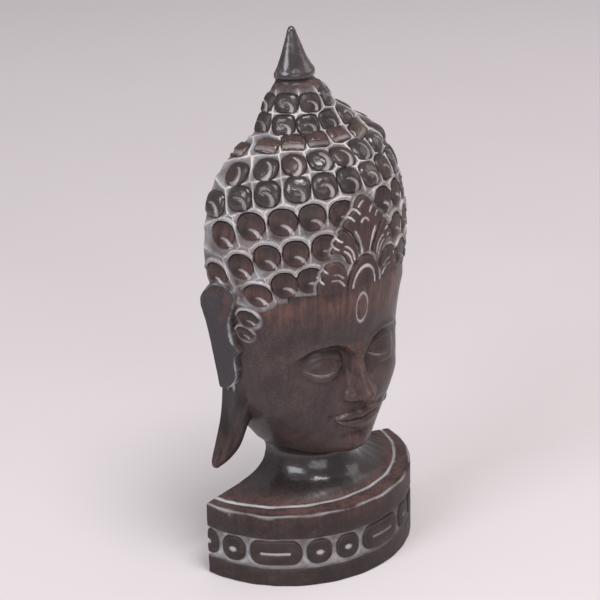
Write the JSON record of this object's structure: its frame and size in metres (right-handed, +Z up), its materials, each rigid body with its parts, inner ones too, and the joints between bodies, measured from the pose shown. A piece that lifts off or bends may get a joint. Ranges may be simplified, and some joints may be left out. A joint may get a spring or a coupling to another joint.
{
  "type": "wooden buddha sculpture",
  "caption": "Half-round carved wooden Buddha head with curled hair, pointed topknot, long ear lobes and a low D-shaped plinth carved with it, flat behind.",
  "frame": {"origin": "middle of the bounding box at the underside of the plinth", "axes": "+Z up, the face looks along -Y, the flat back faces +Y, +X to the viewer's right when the face is seen from the front"},
  "size_m": [0.164, 0.0758, 0.36],
  "materials": {
    "wood": "dark stained, softly waxed wood with pale limewash left in the grooves"
  },
  "bodies": {
    "root": {"buddha_head": "wood"}
  },
  "joints": []
}
